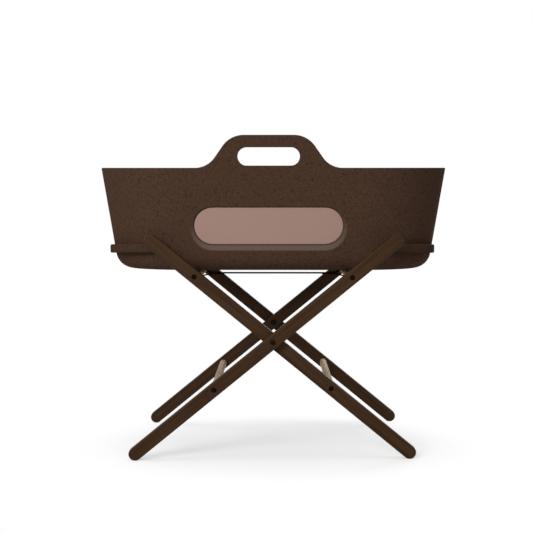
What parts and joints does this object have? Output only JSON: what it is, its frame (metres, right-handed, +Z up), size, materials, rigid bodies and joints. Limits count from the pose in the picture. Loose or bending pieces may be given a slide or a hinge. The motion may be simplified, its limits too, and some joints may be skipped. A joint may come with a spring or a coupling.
{
  "type": "moses basket stand",
  "caption": "Folding cross-leg wooden stand with rails and a webbing strap, carrying a lift-off felt moses basket with grips, mesh windows, liner and mattress.",
  "frame": {"origin": "on the floor under the middle of the stand", "axes": "+X along the basket, +Y from the front to the rear, +Z up"},
  "size_m": [0.841, 0.4992, 0.765],
  "materials": {
    "leg_wood": "dark stained wood, satin",
    "rail_wood": "pale turned wood, satin",
    "black_steel": "black oxide",
    "insert_brass": "plain",
    "washer_nylon": "matt",
    "webbing": "woven tape",
    "felt": "pressed felt",
    "mesh": "fine mesh",
    "liner_cloth": "quilted cotton",
    "board": "hardboard",
    "mattress_cloth": "cotton cover"
  },
  "bodies": {
    "frame_a": {"leg_a_front": "leg_wood", "leg_a_rear": "leg_wood", "upper_rail_a": "rail_wood", "lower_rail_a": "rail_wood", "rail_bolts_a": "black_steel", "rail_inserts_a": "insert_brass", "pivot_bolt_front": "black_steel", "pivot_bolt_rear": "black_steel", "pivot_washer_front": "washer_nylon", "pivot_washer_rear": "washer_nylon", "pivot_nut_front": "black_steel", "pivot_nut_rear": "black_steel", "support_strap": "webbing"},
    "frame_b": {"leg_b_front": "leg_wood", "leg_b_rear": "leg_wood", "upper_rail_b": "rail_wood", "lower_rail_b": "rail_wood", "rail_bolts_b": "black_steel", "rail_inserts_b": "insert_brass"},
    "basket": {"felt_shell": "felt", "end_ledge_left": "felt", "end_ledge_right": "felt", "window_mesh_front": "mesh", "window_mesh_rear": "mesh", "base_board": "board", "liner": "liner_cloth"},
    "mattress": {"mattress": "mattress_cloth"}
  },
  "joints": [
    {"name": "fold", "type": "hinge", "parent": "frame_a", "child": "frame_b", "pos_m": [0, 0, 0.27011], "axis": [0, 1, 0], "range_deg": [0, 92], "deforming": ["support_strap"]},
    {"name": "basket_lift", "type": "slide", "parent": "frame_a", "child": "basket", "axis": [0, 0, 1], "range_m": [0, 0.49]},
    {"name": "mattress_lift", "type": "slide", "parent": "basket", "child": "mattress", "axis": [0, 0, 1], "range_m": [0, 0.35]}
  ],
  "couplings": [
    {"joint": "basket_lift", "follows": "fold", "m_per_rad": 0.3}
  ]
}
